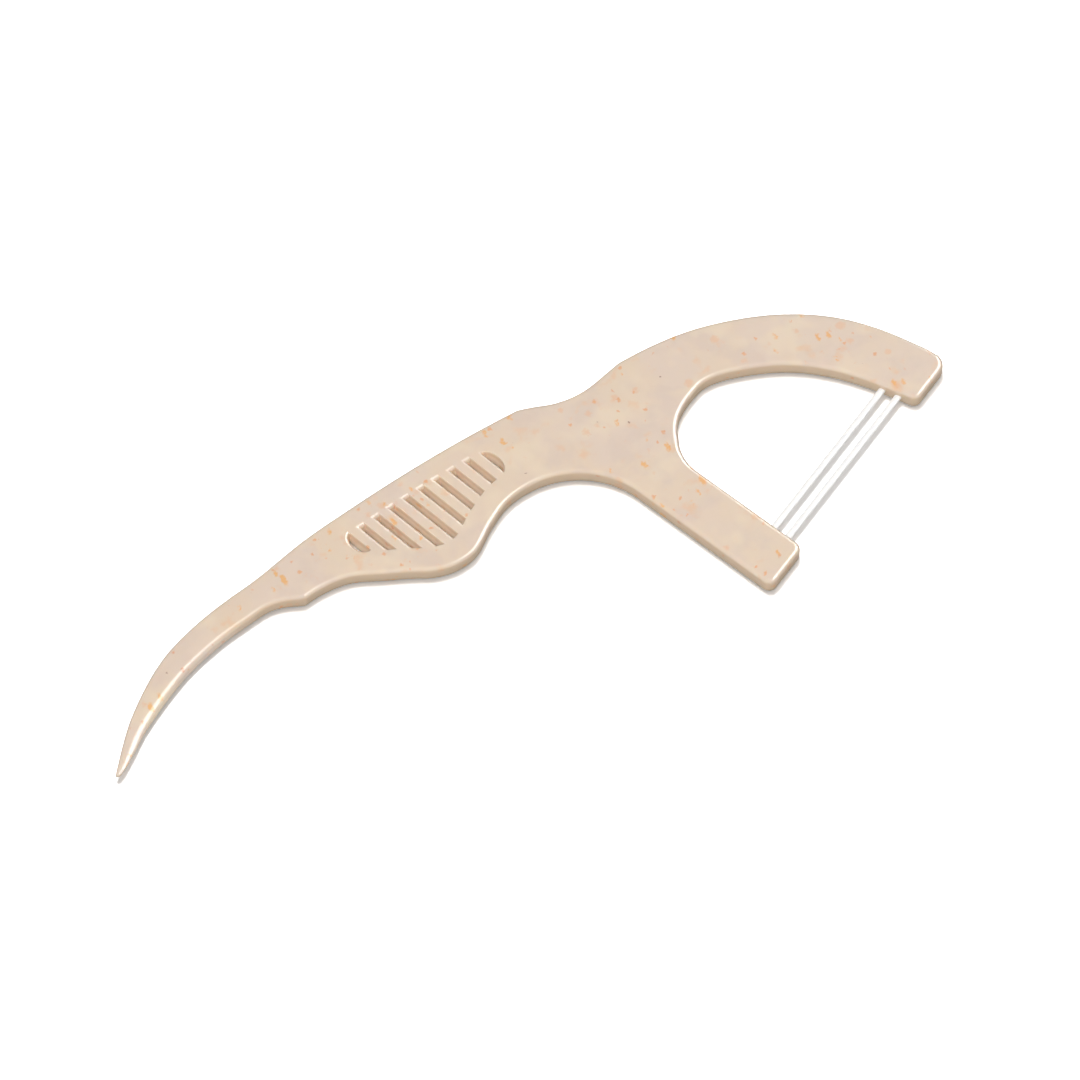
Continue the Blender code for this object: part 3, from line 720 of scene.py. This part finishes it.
floss, shader, place = new_material("floss_filaments", Specular_IOR_Level=0.5, Sheen_Weight=0.3)
lengthwise = place.placed((0, 0, 0), -FLOSS_ANGLE, FILAMENT_STRETCH)
streak = place.noise(lengthwise, STREAK_SCALE, 3.0, 0.6)
sparkle = place.noise(place, SPARKLE_SCALE)
colour = place.mixed(DULL_WHITE, BRIGHT_WHITE, streak.ramp(0.35, 0.6))
feed(shader, "Base Color", colour)
feed(shader, "Roughness", sparkle * 0.3 + 0.25)
bump = place.node("ShaderNodeBump", {}, {"Strength": 0.5, "Distance": 0.00003, "Height": streak})
feed(shader, "Normal", bump)
strands = []
for step, position in ((1, "inner"), (0, "outer")):
    level = upper_corner + left_of(arm_end) * (FLOSS_INSET + step * FLOSS_SPACING)
    start = crossing([lower_corner, foot], level, arm_end) - arm_end * FLOSS_SEAT
    end = crossing(upper_inner, level, arm_end) + arm_end * FLOSS_SEAT
    made = strand("floss_" + position, start, end)
    settled(made, STRAND_SHARP)
    made.data.materials.append(floss)
    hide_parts("floss_strand_" + position)
    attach(made, "root")
    strands.append(made)

# The table: a plain white sheet, brighter to the camera than to the pick, which keeps its shadow.
TABLE_SIZE, TABLE_DROP = 3, 0.00001
TO_PICK, TO_CAMERA = (0.42, 0.42, 0.42, 1), (1.4, 1.4, 1.4, 1)
bpy.ops.mesh.primitive_plane_add(size=TABLE_SIZE, location=(0, 0, -TABLE_DROP))
table = bpy.context.object
table.name = "table"
white = bpy.data.materials.new("white_table")
white.use_nodes = True
shader = white.node_tree.nodes["Principled BSDF"]
shader.inputs["Roughness"].default_value = 0.9
shader.inputs["Specular IOR Level"].default_value = 0.0
seen = Wire(white.node_tree, None).node("ShaderNodeLightPath")
feed(shader, "Base Color", seen.mixed(TO_PICK, TO_CAMERA, seen))
table.data.materials.append(white)

# The lights: a warm soft sky, a key from behind for the table, a front lamp for the pick, one
# beside the floss, and three cards that show only as the bright lines along the rounded edges.
# The fill reaches the table under the pick too, so its shadow stays light.
AIM = Vector((0.00032987, 0.00013568, 0.0017))
PICTURE_TURN = math.radians(28.5)
RIGHT = Vector((math.cos(PICTURE_TURN), -math.sin(PICTURE_TURN), 0))
AWAY = Vector((math.sin(PICTURE_TURN), math.cos(PICTURE_TURN), 0))
SKY, SKY_SEEN = 0.35, 1.0
WARM, PLAIN = (1, 0.95, 0.9, 1), (1, 1, 1, 1)
world = bpy.data.worlds.new("studio")
bpy.context.scene.world = world
world.use_nodes = True
sky = world.node_tree.nodes["Background"]
seen = Wire(world.node_tree, None).node("ShaderNodeLightPath")
feed(sky, "Color", seen.mixed(WARM, PLAIN, seen))
feed(sky, "Strength", seen * (SKY_SEEN - SKY) + SKY)


def grouped(name, members):
    """A collection for light linking."""
    group = bpy.data.collections.new(name)
    for member in members:
        group.objects.link(member)
    return group


def lamp(name, azimuth, elevation, distance, size, radiance, lit=None, shading=None, gloss=False):
    """A soft box, at an azimuth that starts at the picture's right and turns to its far side."""
    azimuth, elevation = math.radians(azimuth), math.radians(elevation)
    level = RIGHT * math.cos(azimuth) + AWAY * math.sin(azimuth)
    toward = level * math.cos(elevation) + Vector((0, 0, math.sin(elevation)))
    light = bpy.data.lights.new(name, "AREA")
    light.shape = "RECTANGLE"
    light.size, light.size_y = size
    light.energy = radiance * math.pi * size[0] * size[1]
    made = bpy.data.objects.new(name, light)
    made.location = AIM + toward * distance
    made.rotation_euler = (-toward).to_track_quat("-Z", "Y").to_euler()
    made.visible_diffuse, made.visible_glossy = not gloss, gloss
    bpy.context.scene.collection.objects.link(made)
    if lit:
        made.light_linking.receiver_collection = grouped(name + " lights", lit)
    if shading:
        made.light_linking.blocker_collection = grouped(name + " is shaded by", shading)


lamp("key", 105, 73, 1.0, (0.3, 0.3), 29.0, lit=[table])
lamp("fill", 105, 73, 1.0, (0.3, 0.3), 4.0, lit=[table], shading=[table])
lamp("front", -102, 61, 0.9, (0.3, 0.2), 31.5, lit=[body] + strands)
lamp("floss_side", 140, 40, 0.9, (0.3, 0.3), 5.5, lit=strands)
lamp("high_right", 6, 57, 0.9, (0.6, 0.35), 8.5, gloss=True)
lamp("right_wall", 30, 34, 0.9, (0.8, 0.56), 7.0, gloss=True)
lamp("back_wall", 60, 30, 0.9, (0.25, 0.4), 8.0, gloss=True)

# The camera: a long lens, 60 degrees above the table, with the handle running up to the right.
TILT = math.radians(60)
LENS, SENSOR, DISTANCE = 250.0, 36.0, 0.6356
SHIFT_X, SHIFT_Y = 10 / 1080, 6 / 1080
gaze = AWAY * math.cos(TILT) - Vector((0, 0, math.sin(TILT)))
camera = bpy.data.objects.new("camera", bpy.data.cameras.new("camera"))
camera.data.lens, camera.data.sensor_width = LENS, SENSOR
camera.data.shift_x, camera.data.shift_y = SHIFT_X, SHIFT_Y
camera.location = AIM - gaze * DISTANCE
camera.rotation_euler = gaze.to_track_quat("-Z", "Y").to_euler()
bpy.context.scene.collection.objects.link(camera)
bpy.context.scene.camera = camera
bpy.context.scene.view_settings.view_transform = "Standard"
